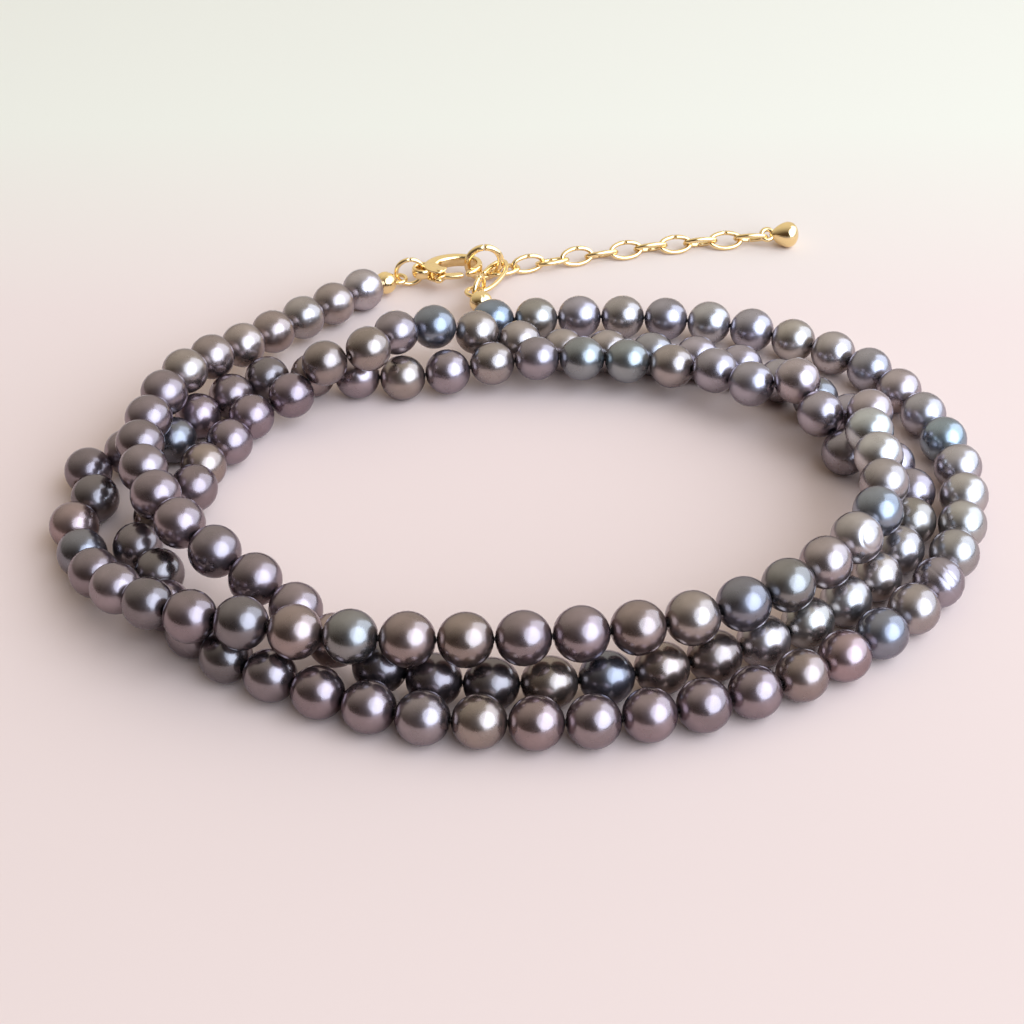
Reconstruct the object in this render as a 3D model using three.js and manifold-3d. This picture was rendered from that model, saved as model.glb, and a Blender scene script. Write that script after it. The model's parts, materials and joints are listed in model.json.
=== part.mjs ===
// A long choker of round pearls on one thread, laid down as a coil of three laps and closed behind
// by a lobster clasp that hooks into the first ring of a short extender chain.
// Millimetres, +Z up. The coil lies on the plane z = 0; +Y points from its front to its clasp.

import * as THREE from 'three';
import { mergeVertices } from 'three/addons/utils/BufferGeometryUtils.js';
import Module from 'manifold-3d';

const wasm = await Module();
wasm.setup();

// ---------------------------------------------------------------- driving dimensions

const PITCH = 5.0;                  // pearl diameter, and so the spacing of neighbours that touch
const SOLID_GAP = 0.3;              // what each solid pearl gives up, so that no two solids meet
const PEARL_RADIUS = (PITCH - SOLID_GAP) / 2;
const PEARL_SIDES = 8;
const PEARL_BANDS = 4;
const THREAD_RADIUS = 0.4;
const THREAD_SIDES = 3;
const PEARL_COUNT = 134;
const STRAND_SOLIDS = 12;           // the pearls are joined along their thread in this many solids

const SETTLING_PASSES = 400;
const ROUTE_PULL = 0.03;            // share of its distance from the route that a pearl gives up per pass

const CAP_RADIUS = 1.35;            // clamshell that hides the thread's last knot
const CAP_LOOP = { radius: 0.95, wire: 0.25 };
const FIRST_CAP_DROP = 1;           // how far the thread falls over the last pitch before its first cap
const SECOND_CAP_WAY = { x: -0.35, y: 0.93, z: 0.05 };
const FIRST_RING = { radius: 1.65, wire: 0.27, shift: 0.1 };
const SECOND_RING = { radius: 1.6, wire: 0.27, height: 2.3 };
const HOOK_RING = { radius: 2.05, wire: 0.4 };
const LONG_LINK = { halfWidth: 1.2, wire: 0.3, height: 1.9, play: 0.5, slit: 0.015, bends: 24 };
const FLOOR_CLEARANCE = 0.05;
const CHAIN_RADIUS = 1.1;           // half the width of the extender's fine links
const DROP_RADIUS = 1.6;
const DROP_EYE = { radius: 0.7, wire: 0.3 };

const CLASP_ANGLE = THREE.MathUtils.degToRad(10);  // the clasp's own direction, seen from above
const CLASP_BOTTOM = 1.3;           // the rings at both ends carry the clasp this high
const CLASP_THICKNESS = 1.6;
const CLASP = {
  eyeCentre: 1.3, eyeRadius: 1.3, eyeHole: 0.75,
  clawCentre: 5.0, clawHalfLength: 3.6, clawHalfWidth: 2.5,
  hollowCentre: 5.55, hollowSide: 0.1, hollowHalfLength: 2.35, hollowHalfWidth: 1.3,
  gateFrom: 4.0, gateTo: 6.2, gateSide: -0.75,
  slotFrom: 2.1, slotSide: -0.5, slotPast: 0.1, plate: 0.35, hookWire: 6.8, beyond: 4,
};
const PIVOT = { u: 3.2, v: -1.5, pin: 0.3 };
const LEVER = {
  heel: 0.8, pinHole: 0.48, play: 0.15, inset: 0.1, tip: 5.95, armSide: -0.9,
  innerHalfLength: 2.9, innerHalfWidth: 1.5, tabEnd: -3.1,
};

// ---------------------------------------------------------------- the route of the thread

// Places the thread passes, in the order of its pearls. The azimuth runs on through the three laps
// (0 is +X, 90 the back, 180 the left, 270 the front); radius and height count in pearls.
const ROUTE = [
  // first lap: from the clasp over the left side, under the second lap in front, low on the right
  { pearl: 0, azimuth: 116, radius: 8.8, height: 0.5 },
  { pearl: 3, azimuth: 135, radius: 8.0, height: 0.75 },
  { pearl: 6, azimuth: 157, radius: 7.9, height: 1.2 },
  { pearl: 9, azimuth: 178, radius: 7.8, height: 1.4 },
  { pearl: 12, azimuth: 200, radius: 7.2, height: 1.5 },
  { pearl: 15, azimuth: 225, radius: 6.1, height: 0.9 },
  { pearl: 17, azimuth: 245, radius: 6.5, height: 0.5 },
  { pearl: 21, azimuth: 283, radius: 6.15, height: 0.5 },
  { pearl: 25, azimuth: 321, radius: 6.9, height: 0.5 },
  { pearl: 28, azimuth: 344, radius: 7.6, height: 0.5 },
  { pearl: 30, azimuth: 359, radius: 7.8, height: 0.5 },
  // it dips under the second lap and comes up along the inside of the back
  { pearl: 31, azimuth: 366, radius: 7.5, height: 0.5 },
  { pearl: 32, azimuth: 373, radius: 7.0, height: 0.5 },
  { pearl: 33, azimuth: 379, radius: 6.6, height: 0.9 },
  { pearl: 34, azimuth: 385, radius: 6.2, height: 1.1 },
  { pearl: 37, azimuth: 412, radius: 5.2, height: 0.8 },
  { pearl: 40, azimuth: 447, radius: 4.4, height: 0.8 },
  { pearl: 43, azimuth: 483, radius: 4.9, height: 0.5 },
  // second lap: out under the first, round the left on the floor, then on top in front
  { pearl: 46, azimuth: 505, radius: 6.9, height: 0.5 },
  { pearl: 49, azimuth: 527, radius: 7.8, height: 0.5 },
  { pearl: 51, azimuth: 537, radius: 8.7, height: 0.5 },
  { pearl: 54, azimuth: 555, radius: 8.9, height: 0.6 },
  { pearl: 57, azimuth: 574, radius: 8.3, height: 1.2 },
  { pearl: 60, azimuth: 593, radius: 7.1, height: 1.4 },
  { pearl: 64, azimuth: 628, radius: 6.0, height: 1.48 },
  { pearl: 68, azimuth: 668, radius: 6.45, height: 1.5 },
  { pearl: 72, azimuth: 702, radius: 7.1, height: 1.5 },
  { pearl: 75, azimuth: 725, radius: 7.0, height: 1.3 },
  { pearl: 77, azimuth: 740, radius: 7.2, height: 0.5 },
  { pearl: 80, azimuth: 764, radius: 6.6, height: 0.5 },
  { pearl: 84, azimuth: 801, radius: 5.3, height: 0.5 },
  // third lap: over the second and inside the left, then the outer row round the front and right
  { pearl: 87, azimuth: 832, radius: 5.4, height: 1.2 },
  { pearl: 89, azimuth: 853, radius: 5.2, height: 1.4 },
  { pearl: 92, azimuth: 877, radius: 6.2, height: 0.6 },
  { pearl: 95, azimuth: 903, radius: 6.9, height: 0.6 },
  { pearl: 97, azimuth: 915, radius: 7.6, height: 0.5 },
  { pearl: 100, azimuth: 937, radius: 7.7, height: 0.5 },
  { pearl: 104, azimuth: 967, radius: 7.2, height: 0.5 },
  { pearl: 108, azimuth: 999, radius: 7.1, height: 0.5 },
  { pearl: 112, azimuth: 1030, radius: 7.6, height: 0.5 },
  { pearl: 116, azimuth: 1058, radius: 8.4, height: 0.5 },
  { pearl: 120, azimuth: 1084, radius: 8.9, height: 0.5 },
  { pearl: 124, azimuth: 1110, radius: 8.8, height: 0.5 },
  { pearl: 127, azimuth: 1130, radius: 8.0, height: 0.5 },
  { pearl: 130, azimuth: 1151, radius: 7.1, height: 0.5 },
  { pearl: 133, azimuth: 1177, radius: 6.6, height: 0.5 },
];

// The extender chain's way over the floor, from the clasp's ring to its drop.
const EXTENDER_ROUTE = [
  { x: -1.3, y: 46.8 }, { x: 3.4, y: 49.0 }, { x: 10.6, y: 52.0 },
  { x: 16.8, y: 52.9 }, { x: 23.8, y: 54.4 }, { x: 29.0, y: 55.0 },
];

// ---------------------------------------------------------------- materials

const pearl = new THREE.MeshStandardMaterial({ color: 0x6f6663, roughness: 0.15, metalness: 0.2 });
const gold = new THREE.MeshStandardMaterial({ color: 0xe3b565, roughness: 0.2, metalness: 1 });

// ---------------------------------------------------------------- solids

function solid(geometry) {
  const bare = geometry.index ? geometry.toNonIndexed() : geometry.clone();
  bare.deleteAttribute('normal');
  bare.deleteAttribute('uv');
  const merged = mergeVertices(bare, 1e-5);
  return new wasm.Manifold(new wasm.Mesh({
    numProp: 3,
    vertProperties: new Float32Array(merged.attributes.position.array),
    triVerts: new Uint32Array(merged.index.array),
  }));
}

function geometryOf(body) {
  const mesh = body.getMesh();
  const geometry = new THREE.BufferGeometry();
  geometry.setAttribute('position', new THREE.BufferAttribute(mesh.vertProperties, 3));
  geometry.setIndex(new THREE.BufferAttribute(mesh.triVerts, 1));
  geometry.computeVertexNormals();
  return geometry;
}

function joined(geometries) {
  return geometries.map(solid).reduce((all, one) => all.add(one));
}

function part(name, body, material) {
  const mesh = new THREE.Mesh(geometryOf(body), material);
  mesh.name = name;
  return mesh;
}

// Turns a geometry so that its own axis points along a direction, and moves it to a place.
function placed(geometry, position, direction, axis) {
  const turn = new THREE.Quaternion().setFromUnitVectors(axis, direction);
  return geometry.applyQuaternion(turn).translate(position.x, position.y, position.z);
}

// ---------------------------------------------------------------- where the pearls come to rest

function routeStart() {
  const stations = ROUTE.map(({ azimuth, radius, height }) => {
    const angle = THREE.MathUtils.degToRad(azimuth);
    const station = new THREE.Vector3(radius * Math.cos(angle), radius * Math.sin(angle), height);
    return station.multiplyScalar(PITCH);
  });
  const curve = new THREE.CatmullRomCurve3(stations);
  const places = [];
  for (let row = 0; row + 1 < ROUTE.length; row++) {
    const from = ROUTE[row].pearl;
    const to = ROUTE[row + 1].pearl;
    for (let i = from; i < to; i++) {
      places.push(curve.getPoint((row + (i - from) / (to - from)) / (ROUTE.length - 1)));
    }
  }
  places.push(curve.getPoint(1));
  return places;
}

// Moves two pearls along the line between them until they are one pitch apart.
function setOnePitchApart(a, b) {
  const step = b.clone().sub(a);
  step.multiplyScalar((step.length() - PITCH) / step.length() / 2);
  a.add(step);
  b.sub(step);
}

// The pearls start on the route. Neighbours are held one pitch apart, crossing laps push each other
// away, nothing sinks into the floor, and each pearl keeps a slight pull to its place on the route.
function restingPearls() {
  const route = routeStart();
  const pearls = route.map((place) => place.clone());
  for (let pass = 0; pass < SETTLING_PASSES; pass++) {
    pearls.forEach((centre, i) => centre.lerp(route[i], ROUTE_PULL));
    for (let i = 0; i < PEARL_COUNT; i++) {
      for (let j = i + 2; j < PEARL_COUNT; j++) {
        if (pearls[i].distanceTo(pearls[j]) < PITCH) setOnePitchApart(pearls[i], pearls[j]);
      }
    }
    for (let i = 0; i + 1 < PEARL_COUNT; i++) setOnePitchApart(pearls[i], pearls[i + 1]);
    pearls.forEach((centre) => { centre.z = Math.max(centre.z, PITCH / 2); });
  }
  return pearls;
}

const pearls = restingPearls();

// ---------------------------------------------------------------- strands of pearls

const UP = new THREE.Vector3(0, 1, 0);  // the poles of a ball, as it is made

function pearlGeometry(centre, along) {
  const ball = new THREE.SphereGeometry(PEARL_RADIUS, PEARL_SIDES, PEARL_BANDS);
  return placed(ball, centre, along, UP);
}

function roundSection(radius, sides) {
  const corners = [];
  for (let i = 0; i < sides; i++) {
    const angle = (2 * Math.PI * i) / sides;
    corners.push(new THREE.Vector2(radius * Math.cos(angle), radius * Math.sin(angle)));
  }
  return new THREE.Shape(corners);
}

function tubeGeometry(points, radius, sides, steps) {
  return new THREE.ExtrudeGeometry(roundSection(radius, sides), {
    steps, bevelEnabled: false, extrudePath: new THREE.CatmullRomCurve3(points),
  });
}

function strand(first, last) {
  const solids = [];
  for (let i = first; i <= last; i++) {
    const before = pearls[Math.max(i - 1, 0)];
    const after = pearls[Math.min(i + 1, PEARL_COUNT - 1)];
    solids.push(pearlGeometry(pearls[i], after.clone().sub(before).normalize()));
  }
  solids.push(tubeGeometry(pearls.slice(first, last + 1), THREAD_RADIUS, THREAD_SIDES, last - first));
  return joined(solids);
}

const choker = new THREE.Group();

for (let k = 0; k < STRAND_SOLIDS; k++) {
  const first = Math.round((k * PEARL_COUNT) / STRAND_SOLIDS);
  const last = Math.round(((k + 1) * PEARL_COUNT) / STRAND_SOLIDS) - 1;
  choker.add(part(`pearl_strand_${String(k + 1).padStart(2, '0')}`, strand(first, last), pearl));
}

// ---------------------------------------------------------------- end caps, rings and links

const RING_FACETS = 6;              // round a wire
const RING_STEPS = 16;              // round a ring
const LOOP_STEPS = 12;              // round a smaller loop
const OUTLINE_FACETS = 14;          // along each curve of a flat outline
const CAP_FACETS = { around: 10, along: 8 };
const DROP_FACETS = { around: 12, along: 8 };
const CHAIN_FACETS = { around: 8, along: 16 };

function capPlaces(end, away) {
  const shellReach = PEARL_RADIUS + SOLID_GAP + CAP_RADIUS;
  return {
    shell: end.clone().addScaledVector(away, shellReach),
    loop: end.clone().addScaledVector(away, shellReach + CAP_RADIUS + CAP_LOOP.radius),
  };
}

// A clamshell over the thread's last knot, and beyond it the loop, which lies flat.
function endCap({ shell, loop }, away) {
  const round = new THREE.SphereGeometry(CAP_RADIUS, CAP_FACETS.around, CAP_FACETS.along);
  const ball = placed(round, shell, away, UP);
  const ring = new THREE.TorusGeometry(CAP_LOOP.radius, CAP_LOOP.wire, RING_FACETS, LOOP_STEPS);
  return joined([ball, ring.translate(loop.x, loop.y, loop.z)]);
}

// A ring on edge, its plane upright and along the given angle, seen from above.
function uprightRing({ radius, wire }, centre, angle) {
  const ring = new THREE.TorusGeometry(radius, wire, RING_FACETS, RING_STEPS);
  return solid(ring.rotateX(Math.PI / 2).rotateZ(angle).translate(centre.x, centre.y, centre.z));
}

// How far out, along its own plane, an upright ring's wire is at some height.
function ringReach(ring, centreHeight, height) {
  return Math.sqrt(ring.radius ** 2 - (height - centreHeight) ** 2);
}

function flatDirection(angle) {
  return new THREE.Vector3(Math.cos(angle), Math.sin(angle), 0);
}

const CLASP_MIDDLE = CLASP_BOTTOM + CLASP_THICKNESS / 2;
const claspWay = flatDirection(CLASP_ANGLE);

// first end of the thread: cap, upright ring, then the clasp's eye
const firstAway = pearls[0].clone().sub(pearls[1]).setZ(-FIRST_CAP_DROP).normalize();
const firstCap = capPlaces(pearls[0], firstAway);
const firstRingCentre = firstCap.loop.clone()
  .addScaledVector(claspWay, ringReach(FIRST_RING, CLASP_MIDDLE, firstCap.loop.z))
  .setZ(CLASP_MIDDLE);
const eyeCentre = firstRingCentre.clone()
  .addScaledVector(claspWay, FIRST_RING.radius - FIRST_RING.shift)
  .setZ(CLASP_BOTTOM);

choker.add(part('end_cap_1', endCap(firstCap, firstAway), gold));
choker.add(part('jump_ring_1', uprightRing(FIRST_RING, firstRingCentre, CLASP_ANGLE), gold));

// the extender's first ring stands in the hook of the clasp
const hookRingHeight = HOOK_RING.radius + HOOK_RING.wire + FLOOR_CLEARANCE;
const hookRingReach = ringReach(HOOK_RING, hookRingHeight, CLASP_MIDDLE);
const hookRingCentre = eyeCentre.clone()
  .addScaledVector(claspWay, CLASP.hookWire - CLASP.eyeCentre + hookRingReach)
  .setZ(hookRingHeight);
choker.add(part('hook_ring', uprightRing(HOOK_RING, hookRingCentre, CLASP_ANGLE), gold));

// second end of the thread: cap, upright ring, and a long flat link that holds the hook ring's far side
const lastPearl = pearls[PEARL_COUNT - 1];
const secondAway = new THREE.Vector3(SECOND_CAP_WAY.x, SECOND_CAP_WAY.y, SECOND_CAP_WAY.z).normalize();
const secondCap = capPlaces(lastPearl, secondAway);
const linkFarWire = hookRingCentre.clone()
  .addScaledVector(claspWay, ringReach(HOOK_RING, hookRingHeight, LONG_LINK.height)).setZ(LONG_LINK.height);
const linkWay = linkFarWire.clone().sub(secondCap.loop).setZ(0).normalize();
const linkAngle = Math.atan2(linkWay.y, linkWay.x);
const secondRingCentre = secondCap.loop.clone()
  .addScaledVector(linkWay, ringReach(SECOND_RING, SECOND_RING.height, secondCap.loop.z))
  .setZ(SECOND_RING.height);
const linkNearWire = secondRingCentre.clone()
  .addScaledVector(linkWay, ringReach(SECOND_RING, SECOND_RING.height, LONG_LINK.height))
  .setZ(LONG_LINK.height);

choker.add(part('end_cap_2', endCap(secondCap, secondAway), gold));
choker.add(part('jump_ring_2', uprightRing(SECOND_RING, secondRingCentre, linkAngle), gold));

// An oval link of even wire, bent round from one side of its slit to the other. The slit is in the
// middle of a long side.
function longLink() {
  const centre = linkNearWire.clone().add(linkFarWire).multiplyScalar(0.5);
  const wires = HOOK_RING.wire + LONG_LINK.wire;
  const halfLength = linkNearWire.distanceTo(linkFarWire) / 2 + wires + LONG_LINK.play;
  const points = [];
  for (let i = 0; i <= LONG_LINK.bends; i++) {
    const share = THREE.MathUtils.lerp(LONG_LINK.slit, 1 - LONG_LINK.slit, i / LONG_LINK.bends);
    const angle = Math.PI / 2 + 2 * Math.PI * share;
    points.push(new THREE.Vector3(halfLength * Math.cos(angle), LONG_LINK.halfWidth * Math.sin(angle), 0));
  }
  const link = tubeGeometry(points, LONG_LINK.wire, RING_FACETS, LONG_LINK.bends);
  return solid(link.rotateZ(linkAngle).translate(centre.x, centre.y, centre.z));
}
choker.add(part('long_link', longLink(), gold));

// ---------------------------------------------------------------- lobster clasp

// Plates and bars of the clasp are drawn in plan, u from the eye towards the nose, v across it, and
// given their thickness; the clasp's group turns and lifts them into place.
function slab(shape, low, high) {
  const options = { depth: high - low, bevelEnabled: false, curveSegments: OUTLINE_FACETS };
  return solid(new THREE.ExtrudeGeometry(shape, options).translate(0, 0, low));
}

// A cutter that goes right through the clasp and past both its faces.
function through(shape) {
  return slab(shape, -CLASP_THICKNESS, 2 * CLASP_THICKNESS);
}

function ovalShape(u, v, halfLength, halfWidth) {
  const shape = new THREE.Shape();
  shape.absellipse(u, v, halfLength, halfWidth, 0, 2 * Math.PI);
  return shape;
}

function boxShape(u0, v0, u1, v1) {
  return new THREE.Shape([[u0, v0], [u1, v0], [u1, v1], [u0, v1]].map(([u, v]) => new THREE.Vector2(u, v)));
}

function claspBody() {
  const c = CLASP;
  const claw = slab(ovalShape(c.clawCentre, 0, c.clawHalfLength, c.clawHalfWidth), 0, CLASP_THICKNESS);
  const eye = slab(ovalShape(c.eyeCentre, 0, c.eyeRadius, c.eyeRadius), 0, CLASP_THICKNESS);
  const eyeHole = through(ovalShape(c.eyeCentre, 0, c.eyeHole, c.eyeHole));
  const hollow = through(ovalShape(c.hollowCentre, c.hollowSide, c.hollowHalfLength, c.hollowHalfWidth));
  const gate = through(boxShape(c.gateFrom, -c.beyond, c.gateTo, c.gateSide));
  const slotPlan = boxShape(c.slotFrom, -c.beyond, c.gateFrom + c.slotPast, c.slotSide);
  const slot = slab(slotPlan, c.plate, CLASP_THICKNESS - c.plate);
  const pinShape = ovalShape(PIVOT.u, PIVOT.v, PIVOT.pin, PIVOT.pin);
  const pin = slab(pinShape, c.plate / 2, CLASP_THICKNESS - c.plate / 2);
  return claw.add(eye).subtract(eyeHole).subtract(hollow).subtract(gate).subtract(slot).add(pin);
}

// The lever turns on the clasp's pin between its two plates. Its arm closes the hook from inside the
// claw's outline, and its tab stands out beside the pin for the thumb.
function claspLever() {
  const low = CLASP.plate + LEVER.play;
  const high = CLASP_THICKNESS - low;
  const heel = slab(ovalShape(PIVOT.u, PIVOT.v, LEVER.heel, LEVER.heel), low, high);
  const outerLength = CLASP.clawHalfLength - LEVER.inset;
  const outerWidth = CLASP.clawHalfWidth - LEVER.inset;
  const outer = slab(ovalShape(CLASP.clawCentre, 0, outerLength, outerWidth), low, high);
  const inner = through(ovalShape(CLASP.clawCentre, 0, LEVER.innerHalfLength, LEVER.innerHalfWidth));
  const reach = slab(boxShape(PIVOT.u, -CLASP.beyond, LEVER.tip, LEVER.armSide), low, high);
  const arm = outer.intersect(reach).subtract(inner);
  const tab = slab(boxShape(PIVOT.u - LEVER.heel, LEVER.tabEnd, PIVOT.u, PIVOT.v), low, high);
  const pinHole = through(ovalShape(PIVOT.u, PIVOT.v, LEVER.pinHole, LEVER.pinHole));
  return heel.add(arm).add(tab).subtract(pinHole);
}

const clasp = new THREE.Group();
clasp.add(part('clasp_body', claspBody(), gold), part('clasp_lever', claspLever(), gold));
clasp.position.copy(eyeCentre).addScaledVector(claspWay, -CLASP.eyeCentre);
clasp.rotation.z = CLASP_ANGLE;
choker.add(clasp);

// ---------------------------------------------------------------- extender chain and its drop

function extenderChain() {
  const height = CHAIN_RADIUS + FLOOR_CLEARANCE;
  const points = EXTENDER_ROUTE.map(({ x, y }) => new THREE.Vector3(x, y, height));
  return solid(tubeGeometry(points, CHAIN_RADIUS, CHAIN_FACETS.around, CHAIN_FACETS.along));
}

function endDrop() {
  const end = EXTENDER_ROUTE[EXTENDER_ROUTE.length - 1];
  const eye = new THREE.TorusGeometry(DROP_EYE.radius, DROP_EYE.wire, RING_FACETS, LOOP_STEPS);
  const eyeX = end.x + SOLID_GAP + DROP_EYE.radius + DROP_EYE.wire;
  eye.translate(eyeX, end.y, DROP_RADIUS + FLOOR_CLEARANCE);
  const ball = new THREE.SphereGeometry(DROP_RADIUS, DROP_FACETS.around, DROP_FACETS.along);
  ball.rotateX(Math.PI / 2);
  ball.translate(eyeX + DROP_EYE.radius + DROP_RADIUS, end.y, DROP_RADIUS + FLOOR_CLEARANCE);
  return joined([eye, ball]);
}

choker.add(part('extender_chain', extenderChain(), gold));
choker.add(part('end_drop', endDrop(), gold));

// ---------------------------------------------------------------- origin: middle of the base

choker.updateMatrixWorld(true);
const bounds = new THREE.Box3().setFromObject(choker, true);
const middle = bounds.getCenter(new THREE.Vector3());
choker.position.set(-middle.x, -middle.y, -bounds.min.z);

export default choker;
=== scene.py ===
# %% [markdown]
# # A choker of dark pearls
#
# This lesson dresses a long string of pearls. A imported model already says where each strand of
# pearls lies, where the clasp's lever turns and where the extender chain runs. Here every strand
# gets its fine pearls, and every metal piece gets its rounded form and its gold.
#
# Everything is in metres. +Z is up, the string lies on z = 0, and +Y points from the front of
# the coil to its clasp.

# %% Load the frame
import json

import bpy
import numpy as np
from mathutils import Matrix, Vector


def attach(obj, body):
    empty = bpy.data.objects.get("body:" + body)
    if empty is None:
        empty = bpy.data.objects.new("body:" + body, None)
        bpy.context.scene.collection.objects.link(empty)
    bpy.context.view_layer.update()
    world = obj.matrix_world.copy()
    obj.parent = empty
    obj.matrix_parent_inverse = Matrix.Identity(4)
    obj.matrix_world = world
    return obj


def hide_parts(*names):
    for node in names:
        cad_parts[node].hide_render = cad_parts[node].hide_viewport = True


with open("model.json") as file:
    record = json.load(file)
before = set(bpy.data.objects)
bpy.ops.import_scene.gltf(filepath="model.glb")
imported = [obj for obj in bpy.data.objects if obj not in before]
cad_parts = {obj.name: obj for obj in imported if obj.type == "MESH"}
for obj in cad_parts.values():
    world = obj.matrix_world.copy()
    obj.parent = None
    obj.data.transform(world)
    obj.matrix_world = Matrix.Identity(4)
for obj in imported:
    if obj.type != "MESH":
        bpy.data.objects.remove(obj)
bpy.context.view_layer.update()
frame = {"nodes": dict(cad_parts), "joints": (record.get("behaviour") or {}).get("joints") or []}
MM = 0.001                      # a millimetre, in metres

# %% [markdown]
# ## Where the pearls are
#
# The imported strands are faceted: each pearl is a ball of flat triangles, joined by its thread.
# The centres could be typed in as a table, but then two files would have to agree for ever.
# Geometry gives them instead. The three corners of a facet lie on the ball, so the ball's centre
# is straight behind the middle of the circle through those corners. Every facet votes for a
# centre, and a place with many votes is a pearl. The thread's triangles vote for places that
# nobody else votes for.

# %% Votes for the centres
PEARL = 5.0 * MM                # diameter of a pearl, and the spacing of two that touch
SOLID_RADIUS = 2.35 * MM        # radius of the faceted balls in the strands
LEAST_AREA = 1e-12              # a facet with less doubled area, in square metres, has no vote
VOTE_GRID = 0.1 * MM            # votes are counted in cubes of this size
FEWEST_VOTES = 6                # a cube with fewer votes is no candidate


def facets(node):
    """Corners of a node's triangles, as an array: triangle, corner, coordinate."""
    mesh = frame["nodes"][node].data
    mesh.calc_loop_triangles()
    places = np.empty(len(mesh.vertices) * 3)
    mesh.vertices.foreach_get("co", places)
    corners = np.empty(len(mesh.loop_triangles) * 3, dtype=int)
    mesh.loop_triangles.foreach_get("vertices", corners)
    return places.reshape(-1, 3)[corners.reshape(-1, 3)]


def ball_centres(node, radius):
    """Centres of the balls of that radius in a node.

    A facet's circumcentre is q = a + (|c-a|^2 (n x (b-a)) + |b-a|^2 ((c-a) x n)) / (2 n.n), with
    n = (b-a) x (c-a). With r the distance from q to a, the centre is sqrt(radius^2 - r^2) below q.
    Of the candidates within a radius of each other, the one with the most votes wins. Its centre
    is the mean of the votes within two cubes of it.
    """
    a, b, c = facets(node).transpose(1, 0, 2)
    ab, ac = b - a, c - a
    normal = np.cross(ab, ac)
    doubled_area = np.linalg.norm(normal, axis=1)
    sound = doubled_area > LEAST_AREA
    a, ab, ac, normal = a[sound], ab[sound], ac[sound], normal[sound]
    doubled_area = doubled_area[sound][:, None]
    ac_squared = (ac**2).sum(1, keepdims=True)
    ab_squared = (ab**2).sum(1, keepdims=True)
    swing = np.cross(normal, ab) * ac_squared + np.cross(ac, normal) * ab_squared
    circumcentre = a + swing / (2 * doubled_area**2)
    depth_squared = radius**2 - ((circumcentre - a) ** 2).sum(1)
    behind = depth_squared > 0
    depth = np.sqrt(depth_squared[behind])[:, None]
    votes = circumcentre[behind] - normal[behind] / doubled_area[behind] * depth

    cells, votes_in_cell = np.unique(np.round(votes / VOTE_GRID), axis=0, return_counts=True)
    heavy = votes_in_cell >= FEWEST_VOTES
    candidates, weight = cells[heavy] * VOTE_GRID, votes_in_cell[heavy]
    gaps = np.linalg.norm(candidates[:, None] - candidates[None], axis=2)
    rank = weight - np.arange(len(weight)) / len(weight)
    beaten = ((gaps < radius) & (rank[None] > rank[:, None])).any(1)
    winners = candidates[~beaten][np.argsort(-rank[~beaten])]
    near = np.linalg.norm(votes[None] - winners[:, None], axis=2) < 2 * VOTE_GRID
    return (near[:, :, None] * votes[None]).sum(1) / near.sum(1)[:, None]


strand_nodes = sorted(name for name in frame["nodes"] if name.startswith("pearl_strand_"))
found = [ball_centres(node, SOLID_RADIUS) for node in strand_nodes]
print("pearls in each strand:", [len(centres) for centres in found])

# %% [markdown]
# The votes come in no order, and the thread needs one. The string winds round the coil always in
# the same sense, so inside a strand the pearls follow each other by their angle about the middle
# of the coil. The angle is measured from the strand's own middle, which keeps it clear of the
# jump at half a turn.

# %% The order along the thread
coil_middle = np.vstack(found).mean(0)


def in_thread_order(centres):
    """The same centres, sorted by their angle about the coil's middle."""
    arms = centres - coil_middle
    heading = arms.mean(0)
    across = heading[0] * arms[:, 1] - heading[1] * arms[:, 0]
    ahead = heading[0] * arms[:, 0] + heading[1] * arms[:, 1]
    return centres[np.argsort(np.arctan2(across, ahead))]


strands = [in_thread_order(centres) for centres in found]
pearls = np.vstack(strands)
first_of_strand = np.cumsum([0] + [len(centres) for centres in strands])
spacing = np.linalg.norm(np.diff(pearls, axis=0), axis=1)
print(len(pearls), "pearls, spaced", spacing.min() / MM, "to", spacing.max() / MM, "mm")

# %% [markdown]
# ## Skins over rings of points
#
# Nearly every piece here is a stack of rings: a pearl is rings of latitude, a wire is the same
# small ring carried along a path, the clasp's claw is a ring that widens and narrows. A ring's
# points run round, the rings run along, and a skin of four-sided faces joins them. An open stack
# gets a fan of triangles at both ends, so that every piece is closed.
#
# Bevelled curves would make the wires too, but a stack of rings lets the section change along the
# way, and many copies are computed as one array. The first cell joins rings to a mesh, and the
# second carries an oval section along a path.

# %% Rings to a mesh


def skin(rings, closed=False):
    """Corners, quads and triangles over rings[copy, ring, point].

    Quad (i, j) joins points j and j + 1 of rings i and i + 1, turned so that it faces out when
    the points run anticlockwise seen from the end of the path. A closed stack has no ends.
    """
    copies, rows, columns = rings.shape[:3]
    number = np.arange(copies * rows * columns).reshape(copies, rows, columns)
    after = np.roll(number, -1, axis=2)
    here, there = number[:, :-1], number[:, 1:]
    if closed:
        here, there = number, np.roll(number, -1, axis=1)
    here_after = after if closed else after[:, :-1]
    there_after = np.roll(after, -1, axis=1) if closed else after[:, 1:]
    quads = np.stack([here, here_after, there_after, there], axis=-1).reshape(-1, 4)
    corners = rings.reshape(-1, 3)
    if closed:
        return corners, quads, np.empty((0, 3), dtype=int)
    hubs = np.stack([rings[:, 0].mean(1), rings[:, -1].mean(1)], axis=1).reshape(-1, 3)
    hub = len(corners) + np.arange(copies * 2).reshape(copies, 2, 1) + np.zeros(columns, dtype=int)
    start = np.stack([hub[:, 0], after[:, 0], number[:, 0]], axis=-1)
    end = np.stack([hub[:, 1], number[:, -1], after[:, -1]], axis=-1)
    triangles = np.concatenate([start, end]).reshape(-1, 3)
    return np.vstack([corners, hubs]), quads, triangles


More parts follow.
